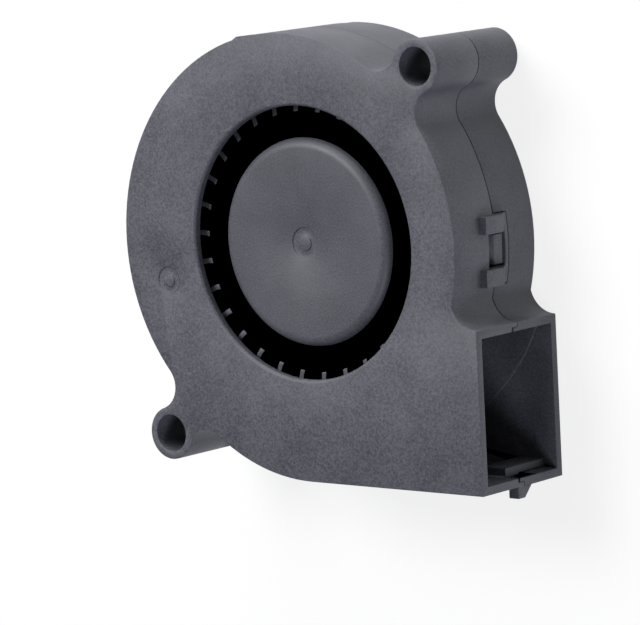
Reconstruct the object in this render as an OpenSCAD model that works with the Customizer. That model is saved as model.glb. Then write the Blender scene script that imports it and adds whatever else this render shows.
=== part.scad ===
// Centrifugal DC blower, 50 mm class: two snap-fit shells round a forward-curved impeller
// that is driven by a four-pole outer-rotor motor on two miniature ball bearings.
//
// Frame: the rotor turns about Z, the rear face lies on Z = 0 and the inlet faces +Z.
// The outlet blows towards +X. The impeller turns counter-clockwise seen from the inlet.

/* [Housing] */
// Overall thickness, rear face to front face
housing_t = 15; // [14:0.5:20]
// Height of the parting plane above the rear face
parting_z = 7.25; // [6.5:0.25:8.5]
// Thickness of the side wall
side_wall = 1; // [0.8:0.1:1.4]
// Thickness of the front and rear walls
face_wall = 1; // [0.8:0.1:1.2]
// Outer radius of the scroll's main arc
scroll_r = 24.2; // [20:0.2:30]
// How far the main arc's centre stands off the rotor axis, away from the tongue
scroll_offset = 2.2; // [1.6:0.1:3]
// How far the scroll's floor drops below the main arc's radius
scroll_drop = 3.3; // [2.8:0.1:4]
// Radius of the lower arc that runs into the floor, as a difference from the main arc
lower_arc_less = 0.7; // [0:0.1:1.5]
// Visible width of the seam between the shells
seam_gap = 0.1; // [0.05:0.01:0.2]

/* [Outlet and inlet] */
// Outer height of the outlet
outlet_h = 18.6; // [15:0.2:20]
// How far the outlet's mouth stands past the scroll
outlet_reach = 2.5; // [2.4:0.1:5]
// Radius of the outer fillet under the scroll at the tongue
tongue_fillet = 3.4; // [2:0.1:3.5]
// Length of blade tip that shows inside the inlet
blade_show = 0.75; // [0.3:0.05:1.5]
// Chamfer on the inlet's edge
inlet_chamfer = 0.25; // [0.1:0.05:0.4]

/* [Mounting lugs] */
// Diameter of the lug holes
lug_hole_d = 4.4; // [3.4:0.1:5]
// Plastic round a lug hole
lug_wall = 0.9; // [0.8:0.1:1.5]
// Radial reach of the upper lug's hole past the main arc
lug_reach_a = 4.4; // [3.8:0.1:6]
// Direction of the upper lug from the main arc's centre
lug_angle_a = 46; // [40:1:60]
// Radial reach of the lower lug's hole past the main arc
lug_reach_b = 5.5; // [4.5:0.1:7]
// Direction of the lower lug from the main arc's centre
lug_angle_b = 230.6; // [225:0.2:236]
// Radius of the fillets that blend the lugs into the scroll
neck_fillet = 2.8; // [1.5:0.1:3.5]

/* [Latches] */
// Width of a latch loop
latch_w = 8; // [6:0.1:10]
// Width of a latch window
latch_window_w = 4; // [3:0.1:5]
// How far the latch pads stand out of the wall
latch_pad_h = 0.8; // [0.4:0.1:1.2]
// Width of the latch under the outlet
foot_latch_w = 6.8; // [6:0.1:8]
// How far the pads of the latch under the outlet stand out
foot_pad_h = 1.4; // [0.6:0.1:1.6]
// Clearance round a catch
latch_clear = 0.3; // [0.15:0.05:0.4]

/* [Impeller] */
// Number of blades
blades = 30; // [20:1:36]
// Radial depth of the blades
blade_depth = 3.6; // [2.5:0.1:4.5]
// Thickness of a blade
blade_t = 0.6; // [0.4:0.1:0.9]
// Radius of the blade's curve
blade_arc = 3.8; // [3.2:0.1:6]
// Direction of the first blade
blade_start = 10; // [0:1:12]
// Clearance between the impeller and the tongue
tongue_gap = 2.4; // [2.2:0.1:4]
// Clearance between the blade tips and the front wall
tip_gap = 0.7; // [0.4:0.1:1.2]
// Clearance between the back disc and the floor
disc_gap = 1.4; // [1.2:0.1:2]
// Thickness of the back disc
disc_t = 0.8; // [0.6:0.1:1.2]
// Outer radius of the hub
hub_r = 12; // [10.5:0.1:14.4]
// Recess of the hub's face behind the front face
hub_recess = 0.8; // [0.2:0.1:1.5]
// Radius of the hub's rounded edge
hub_round = 1.2; // [0.5:0.1:1.6]
// Thickness of the hub's shell
hub_skin = 0.8; // [0.6:0.1:1.2]

/* [Motor] */
// Diameter of the shaft
shaft_d = 2; // [1.5:0.1:2.4]
// Outer diameter of a ball bearing
bearing_d = 6; // [5:0.1:7.2]
// Width of a ball bearing
bearing_w = 2.5; // [2:0.1:3]
// Diameter of a bearing ball
ball_d = 0.9; // [0.7:0.05:1]
// Number of balls in a bearing
balls = 7; // [6:1:8]
// Wall of the bearing tube
tube_wall = 0.8; // [0.5:0.1:1]
// Thickness of the steel yoke
yoke_t = 0.7; // [0.5:0.1:1]
// Radial thickness of the ring magnet
magnet_t = 1.4; // [1:0.1:1.8]
// Air gap between the stator and the magnet
air_gap = 0.3; // [0.2:0.05:0.5]
// Width of a stator tooth
tooth_w = 2.4; // [1.8:0.1:3]
// Winding build on each side of a tooth
coil_t = 1; // [0.7:0.1:1.2]
// Thickness of the bobbin frames
bobbin_t = 0.6; // [0.4:0.1:0.8]
// Thickness of the circuit board
board_t = 0.8; // [0.6:0.1:1]

/* [Lead exit] */
// Width of the channel for the leads
channel_w = 2.8; // [2:0.1:3.5]
// Depth of the channel in the rear face
channel_depth = 1.3; // [1:0.1:1.4]
// Direction of the channel from the rotor axis
channel_angle = 100; // [90:1:115]

/* [Hidden] */
$fn = 96;
// Overshoot that makes a cut run clear of the face it opens
over = 0.5;
// Running clearance between a ball and its race
race_clear = 0.02;

// Heights, from the rear face up
floor_z = face_wall;
ceiling_z = housing_t - face_wall;
hub_top = housing_t - hub_recess;
yoke_top = hub_top - hub_skin;
yoke_inside = yoke_top - yoke_t;
blade_top = ceiling_z - tip_gap;
disc_z = floor_z + disc_gap;
board_z = floor_z + 1;
board_top = board_z + board_t;
coil_low = board_top + 1;
coil_high = yoke_inside - 2.1;
core_low = coil_low + coil_t + bobbin_t;
core_high = coil_high - coil_t - bobbin_t;
tube_top = yoke_inside - 1.7;
upper_bearing_z = tube_top - 0.4 - bearing_w;
lower_bearing_z = board_z;
bushing_z = upper_bearing_z + bearing_w + 1;
label_recess = 0.3;

// Radii, from the rotor axis out
shaft_r = shaft_d / 2;
bearing_r = bearing_d / 2;
tube_r = bearing_r + tube_wall;
pitch_r = (shaft_r + bearing_r) / 2;
ball_r = ball_d / 2;
bushing_r = shaft_r + 1.2;
boss_r = bushing_r + hub_skin;
yoke_r = hub_r - hub_skin;
magnet_r = yoke_r - yoke_t;
stator_r = magnet_r - magnet_t - air_gap;
impeller_r = scroll_r - scroll_offset - side_wall - tongue_gap;
blade_in = impeller_r - blade_depth;
inlet_r = blade_in + blade_show;

// Plan of the housing
scroll_c = [-scroll_offset, -0.2];
floor_y = -scroll_r - scroll_drop;
lower_r = scroll_r - lower_arc_less;
lower_c = [0, floor_y + lower_r];
outlet_x = scroll_c.x + scroll_r + outlet_reach;
outlet_top = floor_y + outlet_h;
tongue_c = [outlet_x, outlet_top + tongue_fillet];
lug_hole_r = lug_hole_d / 2;
lug_r = lug_hole_r + lug_wall;
lug_a = scroll_c + (scroll_r + lug_reach_a) * [cos(lug_angle_a), sin(lug_angle_a)];
lug_b = scroll_c + (scroll_r + lug_reach_b) * [cos(lug_angle_b), sin(lug_angle_b)];

loop_z = parting_z - 2.3;
window_z = parting_z - 1.7;
window_top = parting_z + 1.3;
pad_top = parting_z + 2.9;
foot_pad_top = parting_z + 0.9;
// Each latch: [point on the wall, direction it faces, width, pad height, top of the pads]
LATCHES = [
    for (a = [-1.5, 122, 204])
        [scroll_c + scroll_r * [cos(a), sin(a)], a, latch_w, latch_pad_h, pad_top],
    [[outlet_x - 0.2 - foot_latch_w / 2, floor_y], -90, foot_latch_w, foot_pad_h, foot_pad_top]
];

// Centre of a circle of radius r that touches two circles from outside, left of the line c1 to c2
function touching(c1, r1, c2, r2, r) =
    let (d = norm(c2 - c1), u = (c2 - c1) / d, a = r1 + r, b = r2 + r)
    let (x = (a * a - b * b + d * d) / (2 * d), y = sqrt(a * a - x * x))
    c1 + x * u + y * [-u.y, u.x];

module at_latch(latch) {
    translate([latch[0].x, latch[0].y, 0]) rotate(latch[1]) children();
}

// ---------------------------------------------------------------- housing

// Plan of the scroll and the outlet, taken in by the same amount on every wall
module scroll_plan(inset = 0, past = 0) {
    translate(scroll_c) circle(scroll_r - inset);
    intersection() {
        translate(lower_c) circle(lower_r - inset);
        translate([-2 * lower_r, floor_y]) square(2 * lower_r);
    }
    translate([0, floor_y + inset]) square([outlet_x + past, outlet_h - 2 * inset]);
    difference() {
        translate([outlet_x - 3 * tongue_fillet, outlet_top - 3 * inset - 1])
            square([3 * tongue_fillet, tongue_fillet + 3 * inset + 1]);
        translate(tongue_c) circle(tongue_fillet + inset);
    }
}

// Web between two circles with a concave edge that just dips into both
module neck_plan(c1, r1, c2, r2) {
    dip = 0.005;
    f = touching(c1, r1, c2, r2, neck_fillet);
    difference() {
        polygon([c1, c2, f]);
        translate(f) circle(neck_fillet + dip);
    }
}

module lug_plan() {
    for (lug = [lug_a, lug_b]) translate(lug) circle(lug_r);
    polygon([scroll_c, lug_b, lower_c]);
    neck_plan(scroll_c, scroll_r, lug_a, lug_r);
    neck_plan(lug_a, lug_r, scroll_c, scroll_r);
    neck_plan(lug_b, lug_r, scroll_c, scroll_r);
    neck_plan(lower_c, lower_r, lug_b, lug_r);
}

module lug_holes() {
    for (lug = [lug_a, lug_b])
        translate([lug.x, lug.y, -over]) cylinder(r = lug_hole_r, h = housing_t + 2 * over);
}

// Ring along the side wall between two depths from its outer face
module wall_ring(outer, inner) {
    difference() {
        scroll_plan(outer);
        scroll_plan(inner, over);
    }
}

module latch_box(width, z_low, z_high, depth_in, depth_out) {
    translate([-depth_in, -width / 2, z_low]) cube([depth_in + depth_out, width, z_high - z_low]);
}

// The front shell's half of a latch: a strap with a window, between two raised pads
module latch_loops() {
    difference() {
        union() {
            intersection() {
                translate([0, 0, loop_z]) linear_extrude(parting_z - loop_z + over) wall_ring(0, side_wall);
                for (latch = LATCHES)
                    at_latch(latch) latch_box(latch[2], loop_z, parting_z + over, side_wall + 1, 1);
            }
            for (latch = LATCHES)
                at_latch(latch) latch_pads(latch[2], latch[3], latch[4]);
        }
        latch_windows();
    }
}

// Raised pads with a tail that slopes down to the end of the loop
module latch_pads(width, pad_h, top) {
    pad_w = (width - latch_window_w) / 2;
    for (side = [-1, 1])
        translate([0, side * (width - pad_w) / 2, 0]) rotate([90, 0, 0])
            linear_extrude(pad_w, center = true) polygon([
                [-side_wall / 2, loop_z + 0.1], [pad_h, parting_z - 0.3], [pad_h, top],
                [-side_wall / 2, top]
            ]);
}

module latch_windows() {
    for (latch = LATCHES)
        at_latch(latch)
            latch_box(latch_window_w, window_z, window_top, side_wall + 1, latch[3] + 1);
}

// Above the window the face between the pads drops back to the wall
module latch_troughs() {
    for (latch = LATCHES)
        at_latch(latch)
            translate([0, -latch_window_w / 2, window_top - over])
                cube([latch[3] + 1, latch_window_w, latch[4] - window_top + 2 * over]);
}

module front_housing() {
    lip_h = 0.8;
    color("#54565c")
    difference() {
        union() {
            difference() {
                translate([0, 0, parting_z + seam_gap])
                    linear_extrude(housing_t - parting_z - seam_gap) union() {
                        scroll_plan();
                        lug_plan();
                    }
                translate([0, 0, parting_z - over])
                    linear_extrude(ceiling_z - parting_z + over) scroll_plan(side_wall, over);
                translate([0, 0, parting_z - over])
                    linear_extrude(lip_h + over + latch_clear)
                        scroll_plan(side_wall * 0.5, over);
            }
            latch_loops();
            // The lugs meet inside the seam
            for (lug = [lug_a, lug_b])
                translate([lug.x, lug.y, parting_z]) cylinder(r = lug_r - 0.3, h = 2 * seam_gap);
        }
        latch_windows();
        latch_troughs();
        lug_holes();
        translate([0, 0, ceiling_z - over]) cylinder(r = inlet_r, h = face_wall + 2 * over);
        translate([0, 0, housing_t - inlet_chamfer])
            cylinder(r1 = inlet_r, r2 = inlet_r + inlet_chamfer + over, h = inlet_chamfer + over);
        gate_mark([-impeller_r - 1.5, -5, housing_t], 1.6);
    }
}

// Shallow ring left by the moulding gate, round a raised stub
module gate_mark(place, r) {
    translate(place - [0, 0, 0.12]) difference() {
        cylinder(r = r, h = over);
        translate([0, 0, -over]) cylinder(r = r / 2, h = 3 * over);
    }
}

// The rear shell's half of a latch: a springy finger with a wedge that fills the window
module latch_fingers() {
    finger_in = side_wall + 1;
    finger_out = side_wall + 0.15;
    finger_w = latch_window_w - 2 * latch_clear;
    wedge_z = window_z + latch_clear;
    for (latch = LATCHES)
        at_latch(latch) rotate([90, 0, 0]) linear_extrude(finger_w, center = true) polygon([
            [-finger_in, floor_z - 0.1], [-finger_out, floor_z - 0.1], [-finger_out, wedge_z],
            [-0.2, wedge_z], [-0.2, window_top - 1.1], [-finger_out, window_top - latch_clear],
            [-finger_in, window_top - latch_clear]
        ]);
}

module rear_housing() {
    lip_h = 0.8;
    boss_out = tube_r + 1.1;
    floor_disc_r = impeller_r + 6.2;
    rib_w = channel_w + 1.6;
    roof_z = channel_depth + 0.5;
    channel_start = boss_out + 2;
    color("#505258")
    difference() {
        union() {
            difference() {
                linear_extrude(parting_z) union() {
                    scroll_plan();
                    lug_plan();
                }
                translate([0, 0, floor_z])
                    linear_extrude(parting_z - floor_z + over) scroll_plan(side_wall, over);
            }
            // Lip that centres the front shell
            translate([0, 0, parting_z - over])
                linear_extrude(lip_h + over) wall_ring(side_wall * 0.5 + 0.05, side_wall);
            // Raised floor under the impeller, and the roof over the lead channel
            intersection() {
                translate([0, 0, floor_z - 0.1])
                    linear_extrude(parting_z) scroll_plan(side_wall / 2);
                union() {
                    cylinder(r = floor_disc_r, h = floor_z + 0.25);
                    rotate(channel_angle) translate([channel_start, -rib_w / 2, 0])
                        cube([scroll_r + scroll_drop, rib_w, roof_z]);
                }
            }
            cylinder(r = boss_out, h = board_z);
            for (a = [20, 140, 260])
                rotate(a) translate([stator_r - 1.2, 0, 0]) cylinder(r = 0.8, h = board_z);
        }
        // Rim clear of the latch loops
        for (latch = LATCHES)
            at_latch(latch)
                latch_box(latch[2] + 0.2, loop_z - 0.1, parting_z + lip_h + over, side_wall + 0.6, 2);
        lug_holes();
        translate([0, 0, -over]) cylinder(r = tube_r, h = board_z + 2 * over);
        translate([0, 0, -over]) cylinder(r = hub_r + 1, h = over + label_recess);
        rotate(channel_angle) translate([channel_start + 1, -channel_w / 2, -over])
            cube([scroll_r + scroll_drop, channel_w, channel_depth + over]);
        // Slot that lets the leads up to the board
        rotate(channel_angle) translate([channel_start + 1, -channel_w / 2, -over])
            cube([2, channel_w, roof_z + 2 * over]);
        translate([outlet_x - 4.4, floor_y + 4.2, floor_z - 0.12]) cylinder(r = 1.5, h = over);
    }
    color("#505258") latch_fingers();
    color("#505258") lead_tabs();
}

// Two small tabs that hold the leads down in their channel
module lead_tabs() {
    for (d = [hub_r + 3, impeller_r + 1], side = [-1, 1])
        rotate(channel_angle) translate([d, side * (channel_w / 2 - 0.35), 0.25])
            cube([1.2, 0.9, 0.5], center = true);
}

// ---------------------------------------------------------------- rotor

// Half section of a disc with a rounded upper rim
module rounded_half(r, z_low, z_high, round) {
    translate([0, z_low]) square([r, z_high - z_low - round]);
    translate([0, z_low]) square([r - round, z_high - z_low]);
    translate([r - round, z_high - round]) circle(round);
}

// One blade in plan: part of a ring, hollow towards the direction of rotation
module blade_plan() {
    curve_c = [blade_in + 0.9, blade_arc];
    intersection() {
        translate(curve_c) difference() {
            circle(blade_arc + blade_t / 2);
            circle(blade_arc - blade_t / 2);
        }
        difference() {
            circle(impeller_r - 0.1);
            circle(blade_in);
        }
        translate([0, -2]) square([impeller_r + 1, blade_arc + 1.5]);
    }
}

module impeller() {
    dimple_r = 1.8;
    ring_w = 0.9;
    color("#4a4c52")
    difference() {
        union() {
            rotate_extrude() difference() {
                rounded_half(hub_r, disc_z, hub_top, hub_round);
                square([yoke_r, yoke_top]);
            }
            translate([0, 0, disc_z]) difference() {
                cylinder(r = impeller_r, h = disc_t);
                translate([0, 0, -over]) cylinder(r = yoke_r, h = disc_t + 2 * over);
            }
            for (i = [0 : blades - 1])
                rotate(blade_start + i * 360 / blades) translate([0, 0, disc_z + disc_t / 2])
                    linear_extrude(blade_top - disc_z - disc_t / 2) blade_plan();
            translate([0, 0, blade_top - 0.1 - ring_w]) difference() {
                cylinder(r = impeller_r, h = ring_w);
                translate([0, 0, -over]) cylinder(r = impeller_r - ring_w, h = ring_w + 2 * over);
            }
            translate([0, 0, tube_top + 0.3]) cylinder(r = boss_r, h = yoke_top - tube_top);
        }
        translate([0, 0, tube_top]) cylinder(r = bushing_r, h = yoke_top - tube_top);
        gate_mark([0, 0, hub_top], dimple_r);
    }
}

module rotor_yoke() {
    color("silver") rotate_extrude() difference() {
        translate([boss_r, disc_z + 1.2]) square([yoke_r - boss_r, yoke_top - disc_z - 1.2]);
        translate([0, disc_z + 1]) square([magnet_r, yoke_inside - disc_z - 1]);
    }
}

module ring_magnet() {
    color("#2b2a2e") rotate_extrude() translate([magnet_r - magnet_t, disc_z + 1.6])
        square([magnet_t, coil_high + 0.4 - disc_z - 1.6]);
}

module hub_bushing() {
    color("goldenrod") rotate_extrude() difference() {
        translate([shaft_r, bushing_z]) square([bushing_r - shaft_r, yoke_top - bushing_z]);
        translate([bushing_r, (bushing_z + yoke_top) / 2]) circle(0.2);
    }
}

module rotor_shaft() {
    tip = 0.2;
    groove_z = lower_bearing_z - 0.6;
    shaft_low = groove_z - 0.4;
    shaft_high = yoke_top - 0.2;
    color("gainsboro") rotate_extrude() difference() {
        polygon([
            [0, shaft_low], [shaft_r - tip, shaft_low], [shaft_r, shaft_low + tip],
            [shaft_r, shaft_high - tip], [shaft_r - tip, shaft_high], [0, shaft_high]
        ]);
        translate([shaft_r * 0.75, groove_z]) square([shaft_r, 0.3]);
    }
}

module shaft_washer() {
    color("gainsboro") translate([0, 0, lower_bearing_z - 0.3]) difference() {
        cylinder(r = shaft_r + 0.65, h = 0.3);
        translate([0, 0, -over]) cylinder(r = shaft_r, h = 0.3 + 2 * over);
    }
}

// Snap ring that sits in the shaft's groove, open on one side
module retaining_clip() {
    color("gray") translate([0, 0, lower_bearing_z - 0.6]) difference() {
        cylinder(r = shaft_r + 0.9, h = 0.3);
        translate([0, 0, -over]) cylinder(r = shaft_r * 0.75, h = 0.3 + 2 * over);
        translate([0, -shaft_r * 0.6, -over]) cube([shaft_r + 2, shaft_r * 1.2, 0.3 + 2 * over]);
        for (a = [120, 240])
            rotate(a) translate([shaft_r, 0, -over]) cylinder(r = 0.3, h = 0.3 + 2 * over);
    }
}

// Round wire swept along a coil
function coil_ring(centre, turn, r, sides) = [
    for (k = [0 : sides - 1])
        let (a = k * 360 / sides)
        centre + r * [cos(turn) * cos(a), sin(turn) * cos(a), sin(a)]
];

module preload_spring() {
    wire_r = 0.16;
    turns = 2;
    rings = 32;
    sides = 8;
    mean_r = shaft_r + wire_r + 0.12;
    z_low = upper_bearing_z + bearing_w + wire_r + 0.01;
    z_high = bushing_z - wire_r - 0.01;
    points = [
        for (i = [0 : rings])
            let (s = i / rings, turn = 360 * turns * s)
            each coil_ring(
                [mean_r * cos(turn), mean_r * sin(turn), z_low + (z_high - z_low) * s],
                turn, wire_r, sides)
    ];
    faces = concat(
        [[for (k = [0 : sides - 1]) k]],
        [for (i = [0 : rings - 1], k = [0 : sides - 1])
            let (n = (k + 1) % sides)
            [i * sides + k, (i + 1) * sides + k, (i + 1) * sides + n, i * sides + n]],
        [[for (k = [sides - 1 : -1 : 0]) rings * sides + k]]
    );
    color("silver") polyhedron(points, faces);
}

// ---------------------------------------------------------------- bearings

module bearing_tube() {
    shoulder_r = bearing_r - 0.5;
    color("goldenrod") rotate_extrude() difference() {
        translate([shoulder_r, label_recess]) square([tube_r - shoulder_r, tube_top - label_recess]);
        translate([0, 0]) square([bearing_r, lower_bearing_z + bearing_w]);
        translate([0, upper_bearing_z]) square([bearing_r, housing_t]);
    }
}

module bearing_cap() {
    color("#3a3a3c") translate([0, 0, label_recess]) cylinder(r = bearing_r, h = 0.4);
}

module race_groove() {
    translate([pitch_r, bearing_w / 2]) circle(ball_r + race_clear);
}

module outer_ring() {
    land = pitch_r + ball_r * 0.7;
    color("lightsteelblue") rotate_extrude() difference() {
        translate([land, 0]) square([bearing_r - land, bearing_w]);
        race_groove();
    }
}

module inner_ring() {
    land = pitch_r - ball_r * 0.7;
    color("lightsteelblue") rotate_extrude() difference() {
        translate([shaft_r, 0]) square([land - shaft_r, bearing_w]);
        race_groove();
    }
}

module ball_ring() {
    color("white") for (i = [0 : balls - 1])
        rotate(i * 360 / balls) translate([pitch_r, 0, bearing_w / 2]) sphere(ball_r);
}

module ball_cage() {
    cage_h = ball_d + 0.5;
    color("tan") difference() {
        translate([0, 0, (bearing_w - cage_h) / 2]) difference() {
            cylinder(r = pitch_r + 0.2, h = cage_h);
            translate([0, 0, -over]) cylinder(r = pitch_r - 0.2, h = cage_h + 2 * over);
        }
        for (i = [0 : balls - 1])
            rotate(i * 360 / balls) translate([pitch_r - 1, 0, bearing_w / 2]) rotate([0, 90, 0])
                cylinder(r = ball_r + 0.04, h = 2);
    }
}

module shields() {
    land = pitch_r + ball_r * 0.7;
    color("silver") for (z = [0.1, bearing_w - 0.25])
        translate([0, 0, z]) difference() {
            cylinder(r = land, h = 0.15);
            translate([0, 0, -over]) cylinder(r = pitch_r - ball_r * 0.6, h = 2 * over + 0.15);
        }
}

// ---------------------------------------------------------------- stator

// Plan of the four poles, with each shoe shaped to the air gap
module pole_plan(tooth, hub, shoe_in, shoe_out, half_angle) {
    circle(hub);
    for (a = [0 : 90 : 270]) rotate(a) {
        translate([0, -tooth / 2]) square([(shoe_in + shoe_out) / 2, tooth]);
        intersection() {
            difference() {
                circle(shoe_out);
                circle(shoe_in);
            }
            polygon([
                [0, 0], [2 * shoe_out * cos(half_angle), 2 * shoe_out * sin(half_angle)],
                [2 * shoe_out * cos(half_angle), -2 * shoe_out * sin(half_angle)]
            ]);
        }
    }
}

module stator_core() {
    color("#8a8d92") difference() {
        translate([0, 0, core_low])
            linear_extrude(core_high - core_low)
                pole_plan(tooth_w, tube_r + 1.1, stator_r - 0.9, stator_r, 39);
        translate([0, 0, core_low - over]) cylinder(r = tube_r, h = core_high - core_low + 2 * over);
    }
}

// Insulating frame on one face of the core: a plate with walls that hold the winding
module bobbin() {
    wall_h = bobbin_t + coil_t;
    difference() {
        union() {
            linear_extrude(bobbin_t)
                pole_plan(tooth_w + 0.8, tube_r + 1.3, stator_r - 1.1, stator_r - 0.2, 38);
            linear_extrude(wall_h) intersection() {
                difference() {
                    circle(stator_r - 0.4);
                    circle(stator_r - 1);
                }
                for (a = [0, 90]) rotate(a) square([2 * stator_r, 2 * coil_t + tooth_w + 0.8], center = true);
            }
            linear_extrude(wall_h) circle(tube_r + 1.1);
            for (a = [45, 135, 225]) rotate(a) translate([pin_ring_r, 0]) cylinder(r = 0.8, h = bobbin_t);
        }
        translate([0, 0, -over]) cylinder(r = tube_r, h = wall_h + 2 * over);
        for (a = [45, 135, 225])
            rotate(a) translate([pin_ring_r, 0, -over]) cylinder(r = pin_r, h = wall_h + 2 * over);
    }
}
pin_r = 0.25;
pin_ring_r = tube_r + 1.6;

module upper_bobbin() {
    color("ivory") translate([0, 0, core_high]) bobbin();
}

module lower_bobbin() {
    color("ivory") translate([0, 0, core_low]) mirror([0, 0, 1]) bobbin();
}

// A winding round each tooth, over the bobbin frames
module stator_coils() {
    inner_w = tooth_w + 0.8;
    outer_w = inner_w + 2 * coil_t;
    coil_in = tube_r + 1.4;
    // The winding stops where its outer corners meet the curved shoe
    coil_out = sqrt(pow(stator_r - 1.1, 2) - pow(outer_w / 2, 2)) - 0.05;
    inner_h = core_high - core_low + 2 * bobbin_t;
    outer_h = coil_high - coil_low;
    mid_z = (coil_high + coil_low) / 2;
    corner = 0.5;
    color("#b5651d") for (a = [0 : 90 : 270])
        rotate(a) translate([coil_in, 0, mid_z]) rotate([90, 0, 90])
            linear_extrude(coil_out - coil_in) difference() {
                union() {
                    square([outer_w, outer_h - 2 * corner], center = true);
                    square([outer_w - 2 * corner, outer_h], center = true);
                    for (x = [-1, 1], y = [-1, 1])
                        translate([x * (outer_w / 2 - corner), y * (outer_h / 2 - corner)])
                            circle(corner);
                }
                square([inner_w, inner_h], center = true);
            }
}

module winding_pins() {
    color("silver") for (a = [45, 135, 225])
        rotate(a) translate([pin_ring_r, 0, board_z - 0.4])
            cylinder(r = pin_r, h = core_low - board_z + 0.4);
}

module circuit_board() {
    board_r = stator_r + 0.6;
    color("#1f5a35") translate([0, 0, board_z]) difference() {
        cylinder(r = board_r, h = board_t);
        translate([0, 0, -over]) cylinder(r = tube_r + 0.1, h = board_t + 2 * over);
        for (a = [45, 135, 225])
            rotate(a) translate([pin_ring_r, 0, -over]) cylinder(r = pin_r, h = board_t + 2 * over);
        rotate(channel_angle) for (y = [-0.8, 0.8])
            translate([board_r - 0.9, y, -over]) cylinder(r = 0.35, h = board_t + 2 * over);
    }
}

// A small part on the board, placed by direction and distance from the rotor axis
module on_board(angle, distance, size) {
    rotate(angle) translate([distance - size.x / 2, -size.y / 2, board_top]) cube(size);
}

module hall_sensor() {
    color("#222222") on_board(0, stator_r - 0.6, [1.6, 3, 0.8]);
}

module driver_chip() {
    color("#222222") on_board(190, 6.9, [3, 2.8, 0.8]);
}

module filter_capacitor() {
    color("#c8a46a") on_board(70, 7.2, [1.2, 2, 0.7]);
}

module chip_resistors() {
    color("#333333") for (a = [285, 305, 325]) on_board(a, 7.2, [1.6, 0.8, 0.4]);
}

front_housing();
rear_housing();
impeller();
rotor_yoke();
ring_magnet();
hub_bushing();
rotor_shaft();
preload_spring();
shaft_washer();
retaining_clip();
bearing_tube();
bearing_cap();
translate([0, 0, upper_bearing_z]) outer_ring();  // upper_bearing_outer_ring
translate([0, 0, upper_bearing_z]) inner_ring();  // upper_bearing_inner_ring
translate([0, 0, upper_bearing_z]) ball_ring();  // upper_bearing_balls
translate([0, 0, upper_bearing_z]) ball_cage();  // upper_bearing_cage
translate([0, 0, upper_bearing_z]) shields();  // upper_bearing_shields
translate([0, 0, lower_bearing_z]) outer_ring();  // lower_bearing_outer_ring
translate([0, 0, lower_bearing_z]) inner_ring();  // lower_bearing_inner_ring
translate([0, 0, lower_bearing_z]) ball_ring();  // lower_bearing_balls
translate([0, 0, lower_bearing_z]) ball_cage();  // lower_bearing_cage
translate([0, 0, lower_bearing_z]) shields();  // lower_bearing_shields
stator_core();
upper_bobbin();
lower_bobbin();
stator_coils();
winding_pins();
circuit_board();
hall_sensor();
driver_chip();
filter_capacitor();
chip_resistors();
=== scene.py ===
import math
import bpy
from mathutils import Matrix, Vector


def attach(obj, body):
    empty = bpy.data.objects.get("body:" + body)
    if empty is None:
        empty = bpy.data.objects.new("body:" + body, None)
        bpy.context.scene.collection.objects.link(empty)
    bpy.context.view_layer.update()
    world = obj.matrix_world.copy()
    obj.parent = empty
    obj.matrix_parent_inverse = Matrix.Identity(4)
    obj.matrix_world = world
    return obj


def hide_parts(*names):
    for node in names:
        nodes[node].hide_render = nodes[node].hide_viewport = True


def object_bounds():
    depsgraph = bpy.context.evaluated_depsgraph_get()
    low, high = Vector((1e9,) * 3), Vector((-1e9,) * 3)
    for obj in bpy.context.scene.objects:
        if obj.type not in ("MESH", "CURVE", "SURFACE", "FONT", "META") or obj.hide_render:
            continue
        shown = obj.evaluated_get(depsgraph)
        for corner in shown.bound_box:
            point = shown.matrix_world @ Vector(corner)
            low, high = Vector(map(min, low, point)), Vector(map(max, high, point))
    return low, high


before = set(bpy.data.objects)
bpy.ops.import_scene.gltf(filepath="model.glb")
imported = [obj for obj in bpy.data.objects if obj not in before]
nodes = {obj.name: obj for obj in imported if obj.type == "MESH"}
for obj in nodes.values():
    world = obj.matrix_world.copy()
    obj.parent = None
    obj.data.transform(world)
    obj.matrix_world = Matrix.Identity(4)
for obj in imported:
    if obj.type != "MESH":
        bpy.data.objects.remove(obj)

mm = 0.001
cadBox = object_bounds()  # the CAD model's own box
print("stage: frame loaded,", len(nodes), "nodes")


def hexColor(code):
    # sRGB hex to the linear values that a shader wants
    parts = [int(code[i:i + 2], 16) / 255 for i in (1, 3, 5)]
    linear = [p / 12.92 if p <= 0.04045 else ((p + 0.055) / 1.055) ** 2.4 for p in parts]
    return (*linear, 1.0)


def addNode(tree, kind, settings=None, links=None, tones=None, **fields):
    # one shader node with its fields, socket values, incoming links and colour ramp ends
    node = tree.nodes.new(kind)
    for name, value in fields.items():
        setattr(node, name, value)
    for name, value in (settings or {}).items():
        node.inputs[name].default_value = value
    for name, source in (links or {}).items():
        tree.links.new(source, node.inputs[name])
    for end, (position, code) in enumerate(tones or ()):
        node.color_ramp.elements[end].position = position
        node.color_ramp.elements[end].color = hexColor(code)
    return node


def newMaterial(name, shaderValues):
    material = bpy.data.materials.new(name)
    material.use_nodes = True
    tree = material.node_tree
    tree.nodes.clear()
    shader = addNode(tree, "ShaderNodeBsdfPrincipled", shaderValues)
    addNode(tree, "ShaderNodeOutputMaterial", links={"Surface": shader.outputs["BSDF"]})
    place = addNode(tree, "ShaderNodeTexCoord").outputs["Object"]
    return material, tree, shader, place


def feed(tree, shader, sources):
    # join what makes the colour, gloss and relief to the shader
    for name, source in sources.items():
        tree.links.new(source, shader.inputs[name])


def perMm(size):
    # texture scale at which one feature is about this many millimetres
    return 1 / (size * mm)


def paint(piece, material):
    piece.data.materials.clear()
    piece.data.materials.append(material)


def deselectAll():
    if bpy.context.object and bpy.context.object.mode != "OBJECT":
        bpy.ops.object.mode_set(mode="OBJECT")
    bpy.ops.object.select_all(action="DESELECT")


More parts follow.
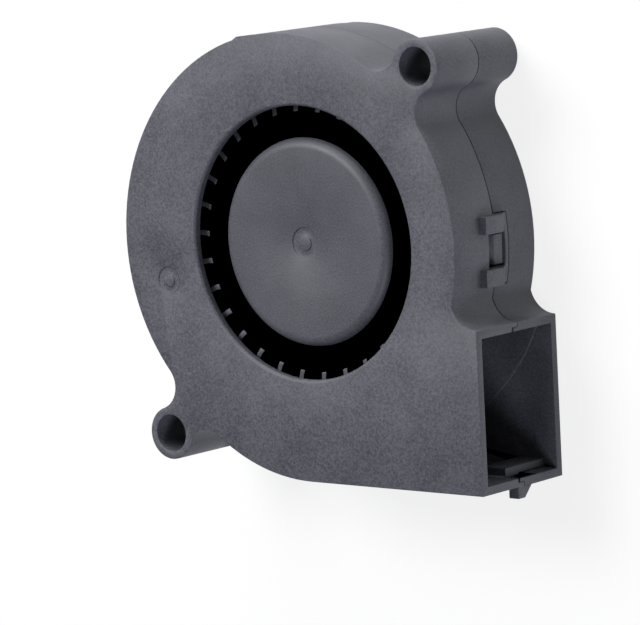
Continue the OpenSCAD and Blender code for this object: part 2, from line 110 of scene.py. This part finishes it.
def makeActive(piece):
    deselectAll()
    bpy.context.view_layer.objects.active = piece
    piece.select_set(True)


# Lengths in millimetres, the roll about the line of sight in degrees
cameraLook = {"place": (317.77, 58.87, 399.99), "aim": (-5.07, -9.36, 5.89), "roll": 2.876,
              "lens": 248.7, "sensor": 36.0, "clipStart": 10}


def addCamera(look):
    place = Vector(look["place"]) * mm
    forward = (Vector(look["aim"]) * mm - place).normalized()
    right = forward.cross(Vector((0, 1, 0))).normalized()
    right.rotate(Matrix.Rotation(math.radians(look["roll"]), 3, forward))
    up = right.cross(forward)
    data = bpy.data.cameras.new("camera")
    data.lens = look["lens"]
    data.sensor_width = look["sensor"]
    data.clip_start = look["clipStart"] * mm
    camera = bpy.data.objects.new("camera", data)
    camera.matrix_world = Matrix((right, up, -forward)).transposed().to_4x4()
    camera.location = place
    bpy.context.scene.collection.objects.link(camera)
    bpy.context.scene.camera = camera


addCamera(cameraLook)
print("stage: camera")

# Three large soft lamps, placed in millimetres and turned to the object, power in watts
lampLook = {"key": {"place": (-260, 330, 560), "size": 360, "power": 5.0, "color": "#ffffff"},
            "top": {"place": (-120, 640, 120), "size": 300, "power": 3.2, "color": "#ffffff"},
            "low": {"place": (420, -420, 330), "size": 260, "power": 1.6, "color": "#f2f3ff"}}
worldLook = {"color": "#ffffff", "strength": 0.12}
# A 4 m sheet just under the object; whiteShare is how far the eye sees it as plain white
floorLook = {"size": 4, "drop": 0.02, "paper": "#f4f4f4", "white": "#ffffff", "whiteShare": 0.82}


def addLamp(name, look):
    data = bpy.data.lights.new(name, "AREA")
    data.shape = "DISK"
    data.size = look["size"] * mm
    data.energy = look["power"]
    data.color = hexColor(look["color"])[:3]
    lamp = bpy.data.objects.new(name, data)
    lamp.location = Vector(look["place"]) * mm
    lamp.rotation_euler = (-lamp.location).to_track_quat("-Z", "Y").to_euler()
    bpy.context.scene.collection.objects.link(lamp)


def addFloor(look):
    bottom = cadBox[0][2] - look["drop"] * mm
    bpy.ops.mesh.primitive_plane_add(size=look["size"], location=(0, 0, bottom))
    floor = bpy.context.object
    floor.name = "studioFloor"
    material = bpy.data.materials.new("paperBackdrop")  # matt white paper that keeps a shadow
    material.use_nodes = True
    tree = material.node_tree
    tree.nodes.clear()
    paper = addNode(tree, "ShaderNodeBsdfDiffuse", {"Color": hexColor(look["paper"])})
    white = addNode(tree, "ShaderNodeEmission", {"Color": hexColor(look["white"])})
    ray = addNode(tree, "ShaderNodeLightPath")
    seen = addNode(tree, "ShaderNodeMath", operation="MAXIMUM",
                   links={0: ray.outputs["Is Camera Ray"], 1: ray.outputs["Is Glossy Ray"]})
    share = addNode(tree, "ShaderNodeMath", {1: look["whiteShare"]}, {0: seen.outputs[0]},
                    operation="MULTIPLY")
    mixed = addNode(tree, "ShaderNodeMixShader",
                    links={0: share.outputs[0], 1: paper.outputs[0], 2: white.outputs[0]})
    addNode(tree, "ShaderNodeOutputMaterial", links={"Surface": mixed.outputs[0]})
    paint(floor, material)


for lampName, look in lampLook.items():
    addLamp(lampName, look)
deselectAll()
addFloor(floorLook)
world = bpy.data.worlds.new("studio")
world.use_nodes = True
sky = world.node_tree.nodes["Background"]
sky.inputs["Color"].default_value = hexColor(worldLook["color"])
sky.inputs["Strength"].default_value = worldLook["strength"]
bpy.context.scene.world = world
bpy.context.scene.view_settings.view_transform = "Standard"
print("stage: studio")

# The finishes below give sizes in millimetres. "grain", "rings" and "cloud" are the widths of
# one speck, ring or patch, and "depth" is the height of the relief.

# Black glass-filled PBT from a spark-eroded mould: dark grey, matt, with an even grain.
# The real grain is under 0.1 mm and is drawn coarser here, so that it shows.
housingLook = {"dark": "#3a3b41", "light": "#5e5f68", "grain": 0.24, "cloud": 5.0,
               "roughness": (0.52, 0.66), "bump": 0.35, "depth": 0.02}
# The same resin in the impeller's smoother mould: a little glossier and more even in tone
impellerLook = {"dark": "#3d3e44", "light": "#56575f", "grain": 0.2, "cloud": 4.0,
                "roughness": (0.46, 0.6), "bump": 0.25, "depth": 0.015}
# How fine grain and slow patches mix in any moulding, and the stretch of the pattern's value
# that each ramp spans
mouldingMix = {"grainDetail": 2.0, "cloudDetail": 3.0, "grainShare": 0.7, "cloudShare": 0.3,
               "tone": (0.3, 0.7), "gloss": (0.35, 0.65)}


def mouldedPlastic(name, look):
    mix = mouldingMix
    material, tree, shader, place = newMaterial(name, {"IOR": 1.5})
    grain = addNode(tree, "ShaderNodeTexNoise",
                    {"Scale": perMm(look["grain"]), "Detail": mix["grainDetail"]},
                    {"Vector": place})
    cloud = addNode(tree, "ShaderNodeTexNoise",
                    {"Scale": perMm(look["cloud"]), "Detail": mix["cloudDetail"]},
                    {"Vector": place})
    patches = addNode(tree, "ShaderNodeMath", {1: mix["cloudShare"]},
                      {0: cloud.outputs["Fac"]}, operation="MULTIPLY")
    both = addNode(tree, "ShaderNodeMath", {1: mix["grainShare"]},
                   {0: grain.outputs["Fac"], 2: patches.outputs[0]}, operation="MULTIPLY_ADD")
    tone = addNode(tree, "ShaderNodeValToRGB", links={"Fac": both.outputs[0]},
                   tones=zip(mix["tone"], (look["dark"], look["light"])))
    rough = addNode(tree, "ShaderNodeMapRange",
                    {"From Min": mix["gloss"][0], "From Max": mix["gloss"][1],
                     "To Min": look["roughness"][0], "To Max": look["roughness"][1]},
                    {"Value": grain.outputs["Fac"]})
    bump = addNode(tree, "ShaderNodeBump",
                   {"Strength": look["bump"], "Distance": look["depth"] * mm},
                   {"Height": grain.outputs["Fac"]})
    feed(tree, shader, {"Base Color": tone.outputs["Color"], "Roughness": rough.outputs["Result"],
                        "Normal": bump.outputs["Normal"]})
    return material


# The mouldings in view: the body each rides on, and the edge radius that its mould leaves
edgeLook = {"front_housing": {"body": "housing", "slot": "housing_plastic",
                              "round": 0.09, "steps": 2},
            "rear_housing": {"body": "housing", "slot": "housing_plastic",
                             "round": 0.09, "steps": 2},
            "impeller": {"body": "rotor", "slot": "impeller_plastic",
                         "round": 0.05, "steps": 2}}
# How a copied mesh is joined up and rounded: a length in millimetres, then angles in degrees
joinLook = {"merge": 0.002, "flat": 0.3, "sharp": 35, "smooth": 38}


def roundedCopy(nodeName, look):
    # the CAD node's mesh, joined up, with its small edge radius
    source = nodes[nodeName]
    piece = bpy.data.objects.new(nodeName + "_moulded", source.data.copy())
    bpy.context.scene.collection.objects.link(piece)
    makeActive(piece)
    bpy.ops.object.mode_set(mode="EDIT")
    bpy.ops.mesh.select_all(action="SELECT")
    bpy.ops.mesh.customdata_custom_splitnormals_clear()
    bpy.ops.mesh.remove_doubles(threshold=joinLook["merge"] * mm)
    bpy.ops.mesh.dissolve_limited(angle_limit=math.radians(joinLook["flat"]))
    bpy.ops.object.mode_set(mode="OBJECT")
    bevel = piece.modifiers.new("edgeRadius", "BEVEL")
    bevel.width = look["round"] * mm
    bevel.segments = look["steps"]
    bevel.limit_method = "ANGLE"
    bevel.angle_limit = math.radians(joinLook["sharp"])
    bevel.use_clamp_overlap = False
    bpy.ops.object.modifier_apply(modifier="edgeRadius")
    bpy.ops.object.mode_set(mode="EDIT")
    bpy.ops.mesh.select_all(action="SELECT")
    bpy.ops.mesh.quads_convert_to_tris(quad_method="BEAUTY", ngon_method="BEAUTY")
    bpy.ops.object.mode_set(mode="OBJECT")
    bpy.ops.object.shade_smooth_by_angle(angle=math.radians(joinLook["smooth"]))
    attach(piece, look["body"])
    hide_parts(nodeName)
    return piece


plastics = {"housing_plastic": mouldedPlastic("glassFilledPbt", housingLook),
            "impeller_plastic": mouldedPlastic("glassFilledPbtSmooth", impellerLook)}
for nodeName, look in edgeLook.items():
    paint(roundedCopy(nodeName, look), plastics[look["slot"]])
print("stage: mouldings")

smallLook = {
    # plain moulded nylon: warm off-white, slightly glossy, nearly smooth
    "nylonBobbin": {"dark": "#cfc8b4", "light": "#e6e0cd", "grain": 0.3, "cloud": 3.0,
                    "roughness": (0.38, 0.5), "bump": 0.1, "depth": 0.01,
                    "nodes": ["upper_bobbin", "lower_bobbin"]},
    # black moulded acetal: smooth, with a soft shine
    "acetalCap": {"dark": "#2c2c2f", "light": "#3a3a3e", "grain": 0.3, "cloud": 3.0,
                  "roughness": (0.4, 0.5), "bump": 0.15, "depth": 0.01,
                  "nodes": ["bearing_cap"]},
    # pressed ferrite: near black, matt and finely pitted
    "ferriteMagnet": {"dark": "#242326", "light": "#37363a", "grain": 0.12, "cloud": 2.0,
                      "roughness": (0.55, 0.8), "bump": 0.5, "depth": 0.02,
                      "nodes": ["ring_magnet"]},
    # epoxy moulding compound: black and matt, with the grit of its filler
    "epoxyChip": {"dark": "#161618", "light": "#222225", "grain": 0.1, "cloud": 1.0,
                  "roughness": (0.5, 0.65), "bump": 0.3, "depth": 0.01,
                  "nodes": ["hall_sensor", "driver_chip", "chip_resistors"]},
    # fired ceramic: tan, smooth, faintly glossy
    "firedCeramic": {"dark": "#a98a5c", "light": "#c3a473", "grain": 0.15, "cloud": 1.0,
                     "roughness": (0.3, 0.45), "bump": 0.1, "depth": 0.01,
                     "nodes": ["filter_capacitor"]}}
for finish, look in smallLook.items():
    material = mouldedPlastic(finish, look)
    for nodeName in look["nodes"]:
        paint(nodes[nodeName], material)

bearingNodes = [end + "_bearing_" + part for end in ("upper", "lower")
                for part in ("outer_ring", "inner_ring", "balls", "shields")]
# Metals with the rings that turning, drawing or grinding leaves. The real marks are a few
# hundredths of a millimetre apart and are drawn wider here, so that they show.
metalLook = {
    # zinc-plated drawn steel: pale grey and satin
    "zincPlatedSteel": {"color": "#b4b7bb", "dull": "#8d9095", "roughness": (0.3, 0.48),
                        "rings": 0.25, "bump": 0.12, "nodes": ["rotor_yoke"]},
    # turned brass: yellow and bright, with close turning rings
    "turnedBrass": {"color": "#c9a45a", "dull": "#a98643", "roughness": (0.24, 0.4),
                    "rings": 0.12, "bump": 0.2, "nodes": ["hub_bushing", "bearing_tube"]},
    # ground steel: bright grey, close to polished
    "groundSteel": {"color": "#c8cacd", "dull": "#a9abaf", "roughness": (0.15, 0.28),
                    "rings": 0.08, "bump": 0.08,
                    "nodes": ["rotor_shaft", "shaft_washer", "retaining_clip"]},
    # ground and honed bearing steel: the glossiest of the metals
    "bearingSteel": {"color": "#c2c5ca", "dull": "#a2a5ab", "roughness": (0.12, 0.25),
                     "rings": 0.08, "bump": 0.05, "nodes": bearingNodes},
    # pressed bronze strip: dull, pale and brownish
    "pressedCage": {"color": "#b7a98e", "dull": "#94876d", "roughness": (0.3, 0.45),
                    "rings": 0.1, "bump": 0.1,
                    "nodes": ["upper_bearing_cage", "lower_bearing_cage"]},
    # drawn spring wire: mid grey with a soft shine
    "springSteel": {"color": "#aeb1b6", "dull": "#888b91", "roughness": (0.22, 0.35),
                    "rings": 0.1, "bump": 0.08, "nodes": ["preload_spring"]},
    # tinned wire: pale silver, slightly dulled
    "tinnedPin": {"color": "#c9ccd0", "dull": "#a3a6aa", "roughness": (0.25, 0.4),
                  "rings": 0.1, "bump": 0.1, "nodes": ["winding_pins"]}}
# Slow tarnish under every metal, and the stretch of its value that each ramp spans
tarnishMix = {"patch": 0.9, "patchDetail": 4.0, "ringDetail": 2.0, "depth": 0.01,
              "tone": (0.35, 0.6), "gloss": (0.3, 0.7)}


def radialDistance(tree, place):
    # distance from the rotor's axis, for patterns that run in rings round it
    flat = addNode(tree, "ShaderNodeVectorMath", {1: (1, 1, 0)}, {0: place},
                   operation="MULTIPLY")
    return addNode(tree, "ShaderNodeVectorMath", links={0: flat.outputs[0]},
                   operation="LENGTH").outputs["Value"]


def toolMarkedMetal(name, look):
    mix = tarnishMix
    material, tree, shader, place = newMaterial(name, {"Metallic": 1.0})
    tarnish = addNode(tree, "ShaderNodeTexNoise",
                      {"Scale": perMm(mix["patch"]), "Detail": mix["patchDetail"]},
                      {"Vector": place})
    tone = addNode(tree, "ShaderNodeValToRGB", links={"Fac": tarnish.outputs["Fac"]},
                   tones=zip(mix["tone"], (look["dull"], look["color"])))
    rough = addNode(tree, "ShaderNodeMapRange",
                    {"From Min": mix["gloss"][0], "From Max": mix["gloss"][1],
                     "To Min": look["roughness"][1], "To Max": look["roughness"][0]},
                    {"Value": tarnish.outputs["Fac"]})
    rings = addNode(tree, "ShaderNodeTexNoise",
                    {"Scale": perMm(look["rings"]), "Detail": mix["ringDetail"]},
                    {"W": radialDistance(tree, place)}, noise_dimensions="1D")
    bump = addNode(tree, "ShaderNodeBump",
                   {"Strength": look["bump"], "Distance": mix["depth"] * mm},
                   {"Height": rings.outputs["Fac"]})
    feed(tree, shader, {"Base Color": tone.outputs["Color"], "Roughness": rough.outputs["Result"],
                        "Normal": bump.outputs["Normal"]})
    return material


for finish, look in metalLook.items():
    material = toolMarkedMetal(finish, look)
    for nodeName in look["nodes"]:
        paint(nodes[nodeName], material)

# Stacked silicon-steel sheets: grey, their cut edges seen as layers 0.5 mm thick
coreLook = {"layer": 0.5, "alongAxis": True, "light": "#9a9da2", "dark": "#55585e",
            "metallic": 1.0, "roughness": 0.42, "bump": 0.5, "depth": 0.04}
# Enamelled copper wire in rings: orange-brown and glossy. The real wire is nearer 0.1 mm
# and is drawn thicker here, so that its turns show.
wireLook = {"layer": 0.28, "alongAxis": False, "light": "#c4743a", "dark": "#7a3f1c",
            "metallic": 0.7, "roughness": 0.26, "bump": 0.7, "depth": 0.04}
layerWave = (-1.0, 0.2)  # the stretch of each sine wave that goes from dark to light


def layered(name, look):
    material, tree, shader, place = newMaterial(name, {"Metallic": look["metallic"],
                                                       "Roughness": look["roughness"]})
    if look["alongAxis"]:
        height = addNode(tree, "ShaderNodeSeparateXYZ", links={0: place}).outputs["Z"]
    else:
        height = radialDistance(tree, place)
    turns = addNode(tree, "ShaderNodeMath", {1: 2 * math.pi * perMm(look["layer"])},
                    {0: height}, operation="MULTIPLY")
    wave = addNode(tree, "ShaderNodeMath", links={0: turns.outputs[0]}, operation="SINE")
    level = addNode(tree, "ShaderNodeMapRange",
                    {"From Min": layerWave[0], "From Max": layerWave[1]},
                    {"Value": wave.outputs[0]})
    tone = addNode(tree, "ShaderNodeValToRGB", links={"Fac": level.outputs["Result"]},
                   tones=zip((0.0, 1.0), (look["dark"], look["light"])))
    bump = addNode(tree, "ShaderNodeBump",
                   {"Strength": look["bump"], "Distance": look["depth"] * mm},
                   {"Height": level.outputs["Result"]})
    feed(tree, shader, {"Base Color": tone.outputs["Color"], "Normal": bump.outputs["Normal"]})
    return material


paint(nodes["stator_core"], layered("laminatedSteel", coreLook))
paint(nodes["stator_coils"], layered("enamelledCopper", wireLook))

# Glass-epoxy board under green solder mask: glossy, with paler patches of copper showing
# through between darker gaps
boardLook = {"mask": "#1d5a34", "track": "#2f7a48", "patch": 0.9, "edge": (0.12, 0.16),
             "roughness": 0.3, "coat": 0.3, "bump": 0.3, "depth": 0.02}


def solderMask(look):
    material, tree, shader, place = newMaterial("solderMask", {"Roughness": look["roughness"],
                                                               "Coat Weight": look["coat"]})
    patches = addNode(tree, "ShaderNodeTexVoronoi", {"Scale": perMm(look["patch"])},
                      {"Vector": place}, feature="DISTANCE_TO_EDGE")
    tone = addNode(tree, "ShaderNodeValToRGB", links={"Fac": patches.outputs["Distance"]},
                   tones=zip(look["edge"], (look["mask"], look["track"])))
    bump = addNode(tree, "ShaderNodeBump",
                   {"Strength": look["bump"], "Distance": look["depth"] * mm},
                   {"Height": tone.outputs["Color"]})
    feed(tree, shader, {"Base Color": tone.outputs["Color"], "Normal": bump.outputs["Normal"]})
    return material


paint(nodes["circuit_board"], solderMask(boardLook))
print("stage: motor and bearings")
